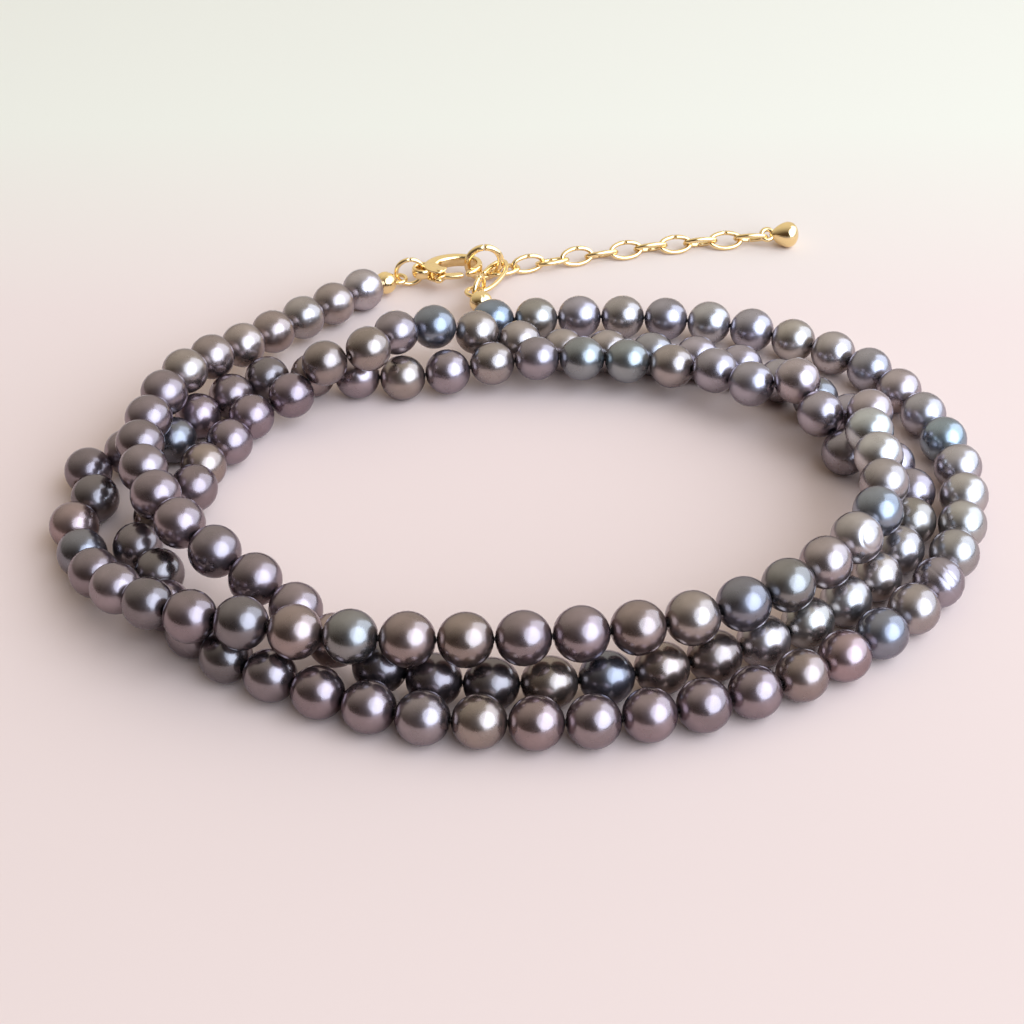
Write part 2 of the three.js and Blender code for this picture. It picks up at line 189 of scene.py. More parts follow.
def piece(name, skins, material):
    """One object at the origin from several skins, smooth all over."""
    counts = np.cumsum([0] + [len(corners) for corners, _, _ in skins])
    corners = np.vstack([part[0] for part in skins])
    quads = np.vstack([part[1] + first for part, first in zip(skins, counts)])
    triangles = np.vstack([part[2] + first for part, first in zip(skins, counts)])
    mesh = bpy.data.meshes.new(name)
    mesh.vertices.add(len(corners))
    mesh.vertices.foreach_set("co", corners.astype(np.float32).ravel())
    mesh.loops.add(quads.size + triangles.size)
    mesh.loops.foreach_set("vertex_index", np.concatenate([quads.ravel(), triangles.ravel()]))
    mesh.polygons.add(len(quads) + len(triangles))
    quad_starts = 4 * np.arange(len(quads))
    triangle_starts = quads.size + 3 * np.arange(len(triangles))
    mesh.polygons.foreach_set("loop_start", np.concatenate([quad_starts, triangle_starts]))
    mesh.polygons.foreach_set("use_smooth", np.ones(len(quads) + len(triangles), dtype=bool))
    mesh.update(calc_edges=True)
    mesh.validate()
    mesh.materials.append(material)
    obj = bpy.data.objects.new(name, mesh)
    bpy.context.scene.collection.objects.link(obj)
    print(name, "has", 2 * len(quads) + len(triangles), "triangles")
    return obj


# %% A section carried along a path


def unit(vectors):
    """The same vectors, each with length one."""
    return vectors / np.linalg.norm(vectors, axis=-1, keepdims=True)


def sweep(path, up, half_width, half_height, closed=False, points=16, roundness=2.0):
    """Rings along path[copy, step]: half_width across the path and half_height towards `up`.

    A ring's point at angle t is path + side * half_width * c(t) + top * half_height * s(t), where
    c and s are cosine and sine raised to 2 / roundness with their sign kept: 2 is an ellipse, and
    more is squarer. side is up x tangent, and top is tangent x side.
    """
    path = np.asarray(path, dtype=float)
    path = path[None] if path.ndim == 2 else path
    if closed:
        tangent = unit(np.roll(path, -1, axis=1) - np.roll(path, 1, axis=1))
    else:
        tangent = unit(np.gradient(path, axis=1))
    side = unit(np.cross(np.broadcast_to(up, tangent.shape), tangent))
    top = np.cross(tangent, side)
    angle = np.linspace(0, 2 * np.pi, points, endpoint=False)
    wave_c, wave_s = np.cos(angle), np.sin(angle)
    c = np.sign(wave_c) * np.abs(wave_c) ** (2 / roundness)
    s = np.sign(wave_s) * np.abs(wave_s) ** (2 / roundness)
    steps = path.shape[1]
    wide = np.broadcast_to(half_width, steps)[None, :, None, None] * c[None, None, :, None]
    high = np.broadcast_to(half_height, steps)[None, :, None, None] * s[None, None, :, None]
    rings = path[:, :, None] + side[:, :, None] * wide + top[:, :, None] * high
    return skin(rings, closed)


# %% [markdown]
# ## Colours and nodes
#
# Colours are written as sRGB hex values, as a colour picker shows them, and one function turns
# them into the linear values that the renderer adds and multiplies.

# %% Helpers for materials


def linear(hex_colour):
    """A hex colour as linear red, green, blue and full alpha."""
    channels = np.array([int(hex_colour[i:i + 2], 16) / 255 for i in (1, 3, 5)])
    low = channels / 12.92
    high = ((channels + 0.055) / 1.055) ** 2.4
    return (*np.where(channels <= 0.04045, low, high), 1.0)


def add_node(tree, kind, settings=None, links=None):
    """A new node with its settings and links.

    A setting with an input's name or number is that input's value, and any other is a property
    of the node. A link's value is the output that feeds the input.
    """
    node = tree.nodes.new(kind)
    for name, value in (settings or {}).items():
        if isinstance(name, int) or name in node.inputs:
            node.inputs[name].default_value = value
        else:
            setattr(node, name, value)
    for name, output in (links or {}).items():
        tree.links.new(output, node.inputs[name])
    return node


def new_material(name, **surface):
    """A material with one Principled shader whose plain values are given by name."""
    material = bpy.data.materials.new(name)
    material.use_nodes = True
    shader = material.node_tree.nodes["Principled BSDF"]
    for socket, value in surface.items():
        shader.inputs[socket.replace("_", " ")].default_value = value
    return material, material.node_tree, shader


# %% [markdown]
# ## Nacre
#
# These are freshwater pearls, dyed dark. Nacre is hundreds of clear plates thinner than a hair's
# hundredth, and light comes back from all of them at once. The eye sees a soft mirror: the
# surroundings are readable in it, but much dimmer, and tinted mauve, brown or slate from pearl to
# pearl. A metal with a dim tint behaves like that. A thin clear coat over it gives the crisp
# glint of the polished outer skin.
#
# The dye is a little cloudy, and the skin has dents, fine swellings and a few pits. They are
# patterns in the material, because none of them is deep enough to change a pearl's outline.

# %% The nacre's tints and its material
TONES = {
    "mauve": "#89797c",
    "brown": "#93817a",
    "blue": "#77777d",
    "slate": "#7c7675",
    "rose": "#947f7d",
    "pale": "#9e8f8b",
    "silver": "#a99f9b",
    "dark": "#726869",
}
EDGE_TINT = "#8f7d8e"           # tints the light that grazes a pearl's outline
CLOUD_SIZE = 2.2 * MM           # the dye sits in clouds about this wide
CLOUD_EDGES = {"From Min": 0.3, "From Max": 0.7}
CLOUD_SHADES = {"To Min": 0.82, "To Max": 1.12}
CLOUD_SATIN = {"To Min": 0.24, "To Max": 0.34}      # roughness, which changes with the clouds
SKIN_SIZE = 0.35 * MM           # the polished skin swells and sinks at this size
WAVE_SIZE = 1.3 * MM            # gentle dents, which bend the edge of a reflection, are this wide
WAVE_SHARE = 5.0                # height of the dents against that of the fine swelling
PIT_SPACING = 1.6 * MM          # small pits lie about this far apart
PIT_REACH = 0.08                # a pit's radius as a share of their spacing
RELIEF = {"Strength": 0.25, "Distance": 0.012 * MM}

nacre, tree, shader = new_material(
    "nacre_dyed_polished", Metallic=0.95, Coat_Weight=1.0, Coat_Roughness=0.07, Coat_IOR=1.5)
shader.inputs["Specular Tint"].default_value = linear(EDGE_TINT)
# Each pearl's colour carries its own tone together with the painted light and shade set in the
# Tones cell.
tint = add_node(tree, "ShaderNodeAttribute", {"attribute_name": "nacre_tint_and_painted_light"})
where = add_node(tree, "ShaderNodeTexCoord").outputs["Object"]
clouds = add_node(
    tree, "ShaderNodeTexNoise", {"Scale": 1 / CLOUD_SIZE, "Detail": 3.0}, {"Vector": where})
cloud_shade = add_node(
    tree, "ShaderNodeMapRange", {**CLOUD_EDGES, **CLOUD_SHADES}, {"Value": clouds.outputs["Fac"]})
clouded = add_node(
    tree, "ShaderNodeVectorMath", {"operation": "SCALE"},
    {"Vector": tint.outputs["Color"], "Scale": cloud_shade.outputs["Result"]})
tree.links.new(clouded.outputs["Vector"], shader.inputs["Base Color"])
satin = add_node(
    tree, "ShaderNodeMapRange", {**CLOUD_EDGES, **CLOUD_SATIN}, {"Value": clouds.outputs["Fac"]})
tree.links.new(satin.outputs["Result"], shader.inputs["Roughness"])

swell = add_node(
    tree, "ShaderNodeTexNoise", {"Scale": 1 / SKIN_SIZE, "Detail": 2.0}, {"Vector": where})
pits = add_node(tree, "ShaderNodeTexVoronoi", {"Scale": 1 / PIT_SPACING}, {"Vector": where})
pit_depth = add_node(
    tree, "ShaderNodeMapRange",
    {"From Min": 0.0, "From Max": PIT_REACH, "To Min": -1.0, "To Max": 0.0},
    {"Value": pits.outputs["Distance"]})
waves = add_node(
    tree, "ShaderNodeTexNoise", {"Scale": 1 / WAVE_SIZE, "Detail": 0.0}, {"Vector": where})
uneven = add_node(
    tree, "ShaderNodeMath", {"operation": "MULTIPLY_ADD", 1: WAVE_SHARE},
    {0: waves.outputs["Fac"], 2: swell.outputs["Fac"]})
relief = add_node(
    tree, "ShaderNodeMath", {"operation": "ADD"},
    {0: uneven.outputs["Value"], 1: pit_depth.outputs["Result"]})
bump = add_node(tree, "ShaderNodeBump", RELIEF, {"Height": relief.outputs["Value"]})
tree.links.new(bump.outputs["Normal"], shader.inputs["Normal"])
tree.links.new(bump.outputs["Normal"], shader.inputs["Coat Normal"])
print(nacre.name, "has", len(tree.nodes), "nodes and", len(TONES), "tones")

# %% [markdown]
# ## The pearls
#
# A pearl is nearly a ball, but no two are alike: one is a little flat on one side, one a little
# egg-shaped, and a few carry rings, where the shell turned while the nacre grew. Each is drilled
# along the thread. A pearl here is rings of latitude from drill hole to drill hole, and all the
# pearls of a strand are computed together, as one array of copies, rings and points.
#
# A pearl starts with half the distance to its nearest neighbour as its radius. Then the pearls
# take turns, in random order, to grow until they touch another, so no two cut into each other
# where laps cross. Flat sides and blunt ends point across the thread. Where a gap is still left
# to the next pearl on the thread, both pearls are a little oval and close it.

# %% Sizes and directions
SEED = 134
LARGEST_RADIUS = 2.6 * MM
PRESS = 0.05 * MM               # a pearl's weight presses it this far into the cloth at most
FIT = (0.997, 1.0)              # range of a pearl's radius against the room it has
FLATTEST = 0.03                 # a flat side lies lower by this share of the radius at most
BLUNTEST = 0.02                 # and a blunt end by this one
LONGEST = 0.07                  # an oval pearl is longer by this share of its radius at most

rng = np.random.default_rng(SEED)
apart = np.linalg.norm(pearls[:, None] - pearls[None], axis=2)
np.fill_diagonal(apart, np.inf)
radii = np.minimum(apart.min(1) / 2, pearls[:, 2] + PRESS)
for number in rng.permutation(len(pearls)):
    room = (apart[number] - radii).min()
    radii[number] = min(room, pearls[number, 2] + PRESS, LARGEST_RADIUS)
radii = radii * rng.uniform(*FIT, len(pearls))
along = unit(np.gradient(pearls, axis=0))
flat_side = unit(np.cross(along, rng.normal(size=(len(pearls), 3))))
blunt_end = unit(np.cross(along, rng.normal(size=(len(pearls), 3))))
flatness = rng.uniform(0.0, FLATTEST, len(pearls))
bluntness = rng.uniform(0.0, BLUNTEST, len(pearls))
print("radii", radii.min() / MM, "to", radii.max() / MM, "mm")

gap_ahead = np.append(np.diagonal(apart, 1) - radii[:-1] - radii[1:], 0.0)
gap_behind = np.roll(gap_ahead, 1)
longer_ahead = np.clip(gap_ahead / 2 / radii, 0.0, LONGEST)
longer_behind = np.clip(gap_behind / 2 / radii, 0.0, LONGEST)
print("longest half of an oval pearl:", 1 + longer_ahead.max(), "radii")

# %% [markdown]
# The dye takes differently on every pearl, so each gets a tone by chance, a little darker or
# paler than the tone's own colour. Some tones stand out in this string, and those pearls are
# named by their number along the thread. Not all of them are the pearls' own colour: the 'dark'
# ones are painted shade where the coil shades them, and several 'pale' and 'silver' ones on the
# right and at the back are painted light where the daylight falls most. Besides, all the pearls
# towards the right and the back of the coil are painted paler and cooler: painted light that
# stands in for the brighter, bluish daylight they catch there.

# %% Tones
TONE_SHARES = {
    "mauve": 0.44, "brown": 0.32, "blue": 0.07, "slate": 0.08, "rose": 0.05, "dark": 0.04}
# Painted shade and light among these: the 'dark' numbers are darker where the coil shades them, and
# several 'pale' and 'silver' numbers are paler where the daylight falls most.
CHOSEN = {
    "mauve": (64, 65, 102, 103, 104, 105, 108, 109, 110, 111, 116),
    "brown": (62, 63, 66, 106, 112),
    "blue": (68, 72, 114, 133),
    "slate": (61, 69),
    "rose": (107, 113),
    "pale": (0, 2, 4, 5, 6, 27, 28, 67, 70, 73, 115, 117, 118, 119, 120, 128),
    "silver": (24, 25, 26, 71, 74, 75),
    "dark": (17, 18, 19, 46, 51, 57, 97, 98, 100, 101),
}
BRIGHTNESS = (0.88, 1.14)       # range of a pearl's brightness against its tone
HUE_DRIFT = (0.97, 1.03)        # range of each of its colour channels, besides
# Painted light: pearls towards the right and the back are made paler and bluer, for the daylight
# they catch there.
PAINTED_LIGHT_GAIN = np.array([1.35, 1.6, 1.7])     # painted light: factors on red, green and blue where it is strongest
PAINTED_LIGHT_WAY = np.array([0.6, 0.8, 0.0])    # the painted light grows in this direction
PAINTED_LIGHT_REACH = 35 * MM                    # and is strongest this far from the coil's middle

chosen = {number: tone for tone, numbers in CHOSEN.items() for number in numbers}
drawn = rng.choice(list(TONE_SHARES), len(pearls), p=list(TONE_SHARES.values()))
tones = [chosen.get(number, tone) for number, tone in enumerate(drawn)]
tints = np.array([linear(TONES[tone])[:3] for tone in tones])
tints = tints * rng.uniform(*BRIGHTNESS, (len(pearls), 1)) * rng.uniform(*HUE_DRIFT, tints.shape)
# Painted light, growing towards the right and the back of the coil.
painted_light_share = np.clip((pearls - coil_middle) @ PAINTED_LIGHT_WAY / PAINTED_LIGHT_REACH, 0.0, 1.0)[:, None]
tints = tints * (1 + painted_light_share * (PAINTED_LIGHT_GAIN - 1))
print("tones", {tone: tones.count(tone) for tone in TONES})

# %% The shape of a pearl
UP = np.array([0.0, 0.0, 1.0])
DRILL_RADIUS = 0.28 * MM
DRILL_DEPTH = 0.5 * MM

# Ringed pearls: the axis of their rings, where the grooves lie and how wide they are, both as
# cosines of the angle to the axis, and how deep.
RINGED = {
    71: {"axis": (0.50, -0.67, 0.55), "grooves": (0.88,), "width": 0.035, "depth": 0.035 * MM},
    116: {"axis": (0.75, 0.39, 0.53), "grooves": (0.06, 0.44), "width": 0.06, "depth": 0.03 * MM},
}


def pearl_skin(numbers, rows, columns):
    """Pearls of those numbers as one skin.

    A point in direction n is at radius R (1 - flatness (n.f)^2 - bluntness (1 + n.b)^2 / 4 +
    longer (n.along)^2), with its own `longer` for each end, less a groove
    depth * exp(-((n.axis - g) / width)^2) for each ring. Rows run at even angles from one drill
    hole to the other, and each hole is its rim's ring moved inwards along the thread.
    """
    def each(values):
        """One value for each of these pearls, in the shape of the grid."""
        return values[numbers][:, None, None]

    axis = each(along)
    side = unit(np.cross(UP, axis))
    top = np.cross(axis, side)
    rim = DRILL_RADIUS / (PEARL / 2)
    latitude = np.linspace(rim, np.pi - rim, rows)[None, :, None, None]
    turn = np.linspace(0, 2 * np.pi, columns, endpoint=False)[None, None, :, None]
    n = -np.cos(latitude) * axis + np.sin(latitude) * (np.cos(turn) * side + np.sin(turn) * top)
    flat = (n * each(flat_side)).sum(-1) ** 2 * each(flatness)
    blunt = (1 + (n * each(blunt_end)).sum(-1)) ** 2 / 4 * each(bluntness)
    forward = -np.cos(latitude)[..., 0]
    longer = np.where(forward > 0, each(longer_ahead), each(longer_behind))
    radius = each(radii) * (1 - flat - blunt + longer * forward**2)
    for row, number in enumerate(numbers):
        ringing = RINGED.get(number, {"grooves": ()})
        for groove in ringing["grooves"]:
            cosine = n[row] @ unit(np.array(ringing["axis"]))
            radius[row] -= ringing["depth"] * np.exp(-((cosine - groove) / ringing["width"]) ** 2)
    rings = each(pearls) + n * radius[..., None]
    hole_behind = rings[:, :1] + DRILL_DEPTH * axis
    hole_ahead = rings[:, -1:] - DRILL_DEPTH * axis
    return skin(np.concatenate([hole_behind, rings, hole_ahead], axis=1))


# %% Pearls, strand by strand
PLAIN_GRID = {"rows": 17, "columns": 28}
RINGED_GRID = {"rows": 97, "columns": 128}
HUBS = 2                        # corners of a pearl that lie in the middle of its drill holes

for strand, node in enumerate(strand_nodes):
    numbers = np.arange(first_of_strand[strand], first_of_strand[strand + 1])
    ringed = np.isin(numbers, list(RINGED))
    batches = [(numbers[~ringed], PLAIN_GRID)]
    if ringed.any():
        batches.append((numbers[ringed], RINGED_GRID))
    skins = [pearl_skin(batch, **grid) for batch, grid in batches]
    beads = piece(f"pearls_{strand + 1:02d}", skins, nacre)
    shades = []
    for (batch, _), (corners, _, _) in zip(batches, skins):
        shades.append(np.repeat(tints[batch], len(corners) // len(batch) - HUBS, axis=0))
        shades.append(np.repeat(tints[batch], HUBS, axis=0))
    shades = np.vstack(shades)
    opaque = np.column_stack([shades, np.ones(len(shades))])
    # The stored colours hold each pearl's tone with its painted light and shade.
    stored = beads.data.attributes.new("nacre_tint_and_painted_light", "FLOAT_COLOR", "POINT")
    stored.data.foreach_set("color", opaque.astype(np.float32).ravel())
    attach(beads, "root")
    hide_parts(node)

# %% [markdown]
# ## The thread
#
# A silk thread runs through every drill hole, from one end cap to the other. It is nearly hidden,
# and it shows as a dark line where two pearls stand a hair apart. It could be left out, but then
# those gaps would be empty. One thin tube through all the centres is enough. Waxed silk is matt,
# with a faint sheen along its edges.

# %% The thread
THREAD_RADIUS = 0.16 * MM
SILK_TINT = "#57504f"
CAP_RADIUS = 1.35 * MM          # the thread ends in the middle of a cap at both ends

caps = np.array([ball_centres(node, CAP_RADIUS)[0] for node in ("end_cap_1", "end_cap_2")])
silk, tree, shader = new_material("silk_thread_waxed", Roughness=0.6, Sheen_Weight=0.3)
shader.inputs["Base Color"].default_value = linear(SILK_TINT)
thread_path = np.vstack([caps[:1], pearls, caps[1:]])
tube = sweep(thread_path, UP, THREAD_RADIUS, THREAD_RADIUS, points=8)
thread = piece("thread", [tube], silk)
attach(thread, "root")

# %% [markdown]
# ## Gold plate
#
# The fittings are brass under a thin plate of pale yellow gold. Polished metal shows the room,
# tinted, and nothing of its own. So the tint is the whole colour, and the wear is in the gloss.
# Tumbling in a drawer leaves a web of hairlines, which spread each glint a little and make some
# patches duller than others.

# %% The gold
GOLD_TINT = "#f6d9a0"
# A real hairline is about 0.01 mm wide, too fine to show here, so it is drawn coarser.
HAIRLINE = 0.06 * MM            # a scratch is about this wide
HAIRLINE_RUN = 1.2 * MM         # and about this long
HAIRLINE_RELIEF = {"Strength": 0.2, "Distance": 0.004 * MM}
WEAR_SIZE = 0.9 * MM            # duller patches are about this wide
DULLING = {"From Min": 0.35, "From Max": 0.7, "To Min": 0.1, "To Max": 0.27}

gold, tree, shader = new_material("gold_plate_worn", Metallic=1.0)
shader.inputs["Base Color"].default_value = linear(GOLD_TINT)
where = add_node(tree, "ShaderNodeTexCoord").outputs["Object"]
wear = add_node(
    tree, "ShaderNodeTexNoise", {"Scale": 1 / WEAR_SIZE, "Detail": 3.0}, {"Vector": where})
dulling = add_node(tree, "ShaderNodeMapRange", DULLING, {"Value": wear.outputs["Fac"]})
tree.links.new(dulling.outputs["Result"], shader.inputs["Roughness"])
stretched = add_node(
    tree, "ShaderNodeVectorMath",
    {"operation": "MULTIPLY", 1: (1 / HAIRLINE_RUN, 1 / HAIRLINE, 1 / HAIRLINE)}, {0: where})
hairlines = add_node(
    tree, "ShaderNodeTexNoise", {"Scale": 1.0, "Detail": 1.0},
    {"Vector": stretched.outputs["Vector"]})
bump = add_node(tree, "ShaderNodeBump", HAIRLINE_RELIEF, {"Height": hairlines.outputs["Fac"]})
tree.links.new(bump.outputs["Normal"], shader.inputs["Normal"])
print(gold.name, "has", len(tree.nodes), "nodes")


def gilded(name, skins, node, body="root"):
    """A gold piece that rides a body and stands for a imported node."""
    obj = piece(name, skins, gold)
    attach(obj, body)
    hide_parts(node)


# %% [markdown]
# ## Shapes that small metalwork is made of
#
# Jewellers' findings are bent wire, turned beads and stamped bands. A wire loop is an oval path
# with a round section. A bead or a rivet is turned: circles of changing radius along a straight
# axis. A lobster clasp's claw is a band that fills the space between two curves. Each is a short
# function here, because every fitting is put together from them.

# %% Wire loops, turned beads and bands
RIGHT = np.array([1.0, 0.0, 0.0])
WIRE_POINTS = 12
BAND_POINTS = 20
BAND_ROUNDNESS = 3.5
END_SHARE = 0.02                # t stays this far from 0 and 1, where the fullness would be nothing


def wire_loop(centre, first, second, half_first, half_second, wire, opening=0.0, steps=40):
    """A round wire along centre + half_first cos(t) first + half_second sin(t) second.

    An opening, as an angle, leaves a gap in the middle of the side that `first` points to.
    """
    closed = opening == 0.0
    turn = np.linspace(opening / 2, 2 * np.pi - opening / 2, steps, endpoint=not closed)[:, None]
    path = centre + half_first * np.cos(turn) * first + half_second * np.sin(turn) * second
    return sweep(path, np.cross(first, second), wire, wire, closed, WIRE_POINTS)


def turned(centre, axis, across, distance, radius, points):
    """Circles of the given radii at the given distances along an axis, not parallel to `across`.

    A circle's point at angle t is centre + distance axis + radius (cos(t) side + sin(t) top).
    """
    side = unit(np.cross(across, axis))
    top = np.cross(axis, side)
    turn = np.linspace(0, 2 * np.pi, points, endpoint=False)[None, :, None]
    circles = radius[:, None, None] * (np.cos(turn) * side + np.sin(turn) * top)
    return skin((centre + distance[:, None, None] * axis + circles)[None])


def band(outer, inner, half_height):
    """A flat band between two curves that run anticlockwise, seen from above.

    Its section at each step is a rounded box: middle + (inner - outer) / 2 c(t) + UP height s(t),
    where c and s are cosine and sine raised to 2 / roundness with their sign kept.
    """
    angle = np.linspace(0, 2 * np.pi, BAND_POINTS, endpoint=False)
    wave = np.stack([np.cos(angle), np.sin(angle)])
    c, s = np.sign(wave) * np.abs(wave) ** (2 / BAND_ROUNDNESS)
    middle = ((outer + inner) / 2)[:, None]
    across = ((inner - outer) / 2)[:, None] * c[None, :, None]
    rise = np.broadcast_to(half_height, len(outer))[:, None, None] * s[None, :, None] * UP
    return skin((middle + across + rise)[None])


def rounded_off(steps, power=10):
    """Shares of a length, closer together near both ends, and the fullness there.

    Share s is (1 - cos(pi t)) / 2. The fullness is (1 - |2s - 1|^power)^(1/2): nearly 1 along the
    length, rounded off at the ends.
    """
    share = (1 - np.cos(np.linspace(END_SHARE, 1 - END_SHARE, steps) * np.pi)) / 2
    return share, np.sqrt(1 - np.abs(2 * share - 1) ** power)


def own_axes(node):
    """Middle of a node, its three directions from longest to shortest, and half its size in each.

    The directions are the singular vectors of its corners, taken from the corners' mean.
    """
    corners = facets(node).reshape(-1, 3)
    axes = np.linalg.svd(corners - corners.mean(0), full_matrices=False)[2]
    along_axes = corners @ axes.T
    low, high = along_axes.min(0), along_axes.max(0)
    return axes.T @ ((low + high) / 2), axes, (high - low) / 2


# %% [markdown]
# ## End caps and jump rings
#
# The thread ends in a knot, and a clamshell hides it: two thin cups that are pressed shut over
# the knot and leave a fine seam. A loop on the shell takes a jump ring, which is wire bent round
# until its ends meet. The meeting is never perfect, and the slit is what tells a jump ring from a
# cast one. The shell is a ball with the seam pressed in; the rings are open wire loops.

# %% End caps
CAP_LOOP = {"radius": 0.95 * MM, "wire": 0.25 * MM}
SEAM = {"width": 0.07, "depth": 0.06 * MM}
SHELL_GRID = {"rows": 40, "columns": 64}
POLE = 0.06                     # angle from the axis to the first ring of the shell


def clamshell(centre, axis, radius):
    """A ball of radius - depth exp(-(n.across / width)^2), with its seam where n.across is 0."""
    across = unit(np.cross(UP, axis))
    top = np.cross(axis, across)
    latitude = np.linspace(POLE, np.pi - POLE, SHELL_GRID["rows"])[:, None, None]
    turn = np.linspace(0, 2 * np.pi, SHELL_GRID["columns"], endpoint=False)[None, :, None]
    n = -np.cos(latitude) * axis + np.sin(latitude) * (np.cos(turn) * across + np.sin(turn) * top)
    groove = SEAM["depth"] * np.exp(-((n @ across) / SEAM["width"]) ** 2)
    return skin((centre + n * (radius - groove)[..., None])[None])


for number, (cap, end) in enumerate(zip(caps, (pearls[0], pearls[-1])), start=1):
    away = unit(cap - end)
    loop_centre = cap + (CAP_RADIUS + CAP_LOOP["radius"]) * away
    level = unit(away * (1, 1, 0))
    reach = CAP_LOOP["radius"]
    loop = wire_loop(loop_centre, level, np.cross(UP, level), reach, reach, CAP_LOOP["wire"])
    gilded(f"end_cap_{number}_gold", [clamshell(cap, away, CAP_RADIUS), loop], f"end_cap_{number}")

# %% Jump rings and the long link
RING_SLIT = 0.07                # angle of the slit, seen from the ring's middle
RING_WIRES = {"jump_ring_1": 0.27 * MM, "jump_ring_2": 0.27 * MM, "hook_ring": 0.4 * MM}
LINK_WIRE = 0.3 * MM

for node, wire in RING_WIRES.items():
    middle, axes, half = own_axes(node)
    level = unit(np.cross(axes[2], UP))
    reach = half[0] - wire
    ring = wire_loop(middle, UP, level, reach, reach, wire, RING_SLIT, steps=56)
    gilded(f"{node}_gold", [ring], node)

middle, axes, half = own_axes("long_link")
reach = half - LINK_WIRE
oval = wire_loop(middle, axes[1], axes[0], reach[1], reach[0], LINK_WIRE, RING_SLIT, steps=72)
gilded("long_link_gold", [oval], "long_link")

# %% [markdown]
# ## Lobster clasp
#
# The claw is cast in one piece: a hook that runs from its tip over the nose and the back to the
# eye at the rear. On its open side it splits into two cheeks, and the lever turns on a rivet
# between them. A spring inside holds the lever shut against the tip.
#
# The hook is the band between two ovals, its outline and its hollow. It is fullest at the back
# and thins towards the tip. The lever is a band too, bent along the same outline, so that the
# closed clasp reads as one smooth form. The clasp is drawn in its own directions: u from the eye
# towards the nose, v across, and heights from the middle of its thickness.

# %% The clasp's own directions
rivet = np.array(frame["joints"][0]["pos_m"])
RIVET = {"u": 3.2 * MM, "v": -1.5 * MM}     # the rivet in the clasp's own directions
CLASP_ANGLE = np.radians(10)                # from +X to u
nose_way = np.array([np.cos(CLASP_ANGLE), np.sin(CLASP_ANGLE), 0.0])
cross_way = np.cross(UP, nose_way)


def on_clasp(u, v, height=0.0):
    """Points at u and v on the clasp, as an array."""
    u, v = np.broadcast_arrays(u, v)
    noseward = (u - RIVET["u"])[..., None] * nose_way
    crosswise = (v - RIVET["v"])[..., None] * cross_way
    return rivet + noseward + crosswise + height * UP


def oval_curve(oval, angle):
    """Points on an oval of the clasp: (u + half_u cos(angle), v + half_v sin(angle))."""
    u = oval["u"] + oval["half_u"] * np.cos(angle)
    v = oval["v"] + oval["half_v"] * np.sin(angle)
    return on_clasp(u, v)


print("rivet at", rivet / MM, "mm, nose towards", nose_way)

# %% The claw's hook and cheeks
OUTLINE = {"u": 5.0 * MM, "v": 0.0, "half_u": 3.6 * MM, "half_v": 2.5 * MM}
HOLLOW = {"u": 5.55 * MM, "v": 0.1 * MM, "half_u": 2.35 * MM, "half_v": 1.3 * MM}
HALF_THICKNESS = 0.8 * MM
HOOK = {"from": -71, "to": 190, "steps": 72}        # from the tip over the nose and the back
# Share of the full thickness at these shares of the way from the tip to the back.
SLIMMING = {"at": (0.0, 0.35, 1.0), "share": (0.62, 0.9, 1.0)}
# The cheeks lie this high above and below the clasp's middle, and are thin plates.
CHEEKS = {"from": 166, "to": 240, "height": 0.61 * MM, "half": 0.165 * MM}


def between(outer_oval, inner_oval, start, stop, half_height, steps, height=0.0):
    """A band between two ovals over some degrees, with rounded ends.

    At each angle it reaches from the middle of the two ovals by half their distance * fullness.
    """
    share, fullness = rounded_off(steps)
    angle = np.radians(start + (stop - start) * share)
    outer, inner = oval_curve(outer_oval, angle), oval_curve(inner_oval, angle)
    middle, reach = (outer + inner) / 2, (outer - inner) / 2 * fullness[:, None]
    lift = height * UP
    return band(middle + reach + lift, middle - reach + lift, half_height * fullness)


slimming = np.interp(rounded_off(HOOK["steps"])[0], SLIMMING["at"], SLIMMING["share"])
hook = between(
    OUTLINE, HOLLOW, HOOK["from"], HOOK["to"], HALF_THICKNESS * slimming, HOOK["steps"])
cheeks = []
for height in (-CHEEKS["height"], CHEEKS["height"]):
    cheeks.append(between(
        OUTLINE, HOLLOW, CHEEKS["from"], CHEEKS["to"], CHEEKS["half"], steps=28, height=height))

# %% The claw's eye and rivet
EYE = {"u": 1.3 * MM, "radius": 1.02 * MM, "half_width": 0.28 * MM, "half_height": 0.6 * MM}
CIRCLE = np.linspace(0, 2 * np.pi, 48, endpoint=False)
RIVET_HALF = 0.92 * MM
# The rivet's head, as pairs: depth under its top, and radius there.
RIVET_PROFILE = np.array([
    (0.0, 0.03), (0.02, 0.2), (0.07, 0.34), (0.13, 0.4), (0.19, 0.4), (0.22, 0.28)]) * MM


def on_circle(u, v, radius):
    """Points on the clasp at (u + radius cos(t), v + radius sin(t)), for each t in CIRCLE."""
    return on_clasp(u + radius * np.cos(CIRCLE), v + radius * np.sin(CIRCLE))


eye_path = on_circle(EYE["u"], 0.0, EYE["radius"])
eye = sweep(eye_path, UP, EYE["half_width"], EYE["half_height"], closed=True, roundness=2.6)
depth, radius = RIVET_PROFILE.T
levels = np.concatenate([depth - RIVET_HALF, RIVET_HALF - depth[::-1]])
rivet_skin = turned(rivet, UP, RIGHT, levels, np.concatenate([radius, radius[::-1]]), points=24)
gilded("clasp_claw", [hook, *cheeks, eye, rivet_skin], "clasp_body")

# %% The clasp's lever
LEVER_OUTER = {"u": 5.0 * MM, "v": 0.0, "half_u": 3.5 * MM, "half_v": 2.4 * MM}
LEVER_INNER = {"u": 5.0 * MM, "v": 0.0, "half_u": 2.9 * MM, "half_v": 1.5 * MM}
LEVER_HALF = 0.3 * MM
HEEL = {"radius": 0.61 * MM, "half_width": 0.19 * MM}
ARM = {"from": 244, "to": 288}
TAB = {"top": (3.02 * MM, -2.0 * MM), "end": (2.78 * MM, -3.05 * MM), "wide": (0.3 * MM, 0.4 * MM)}

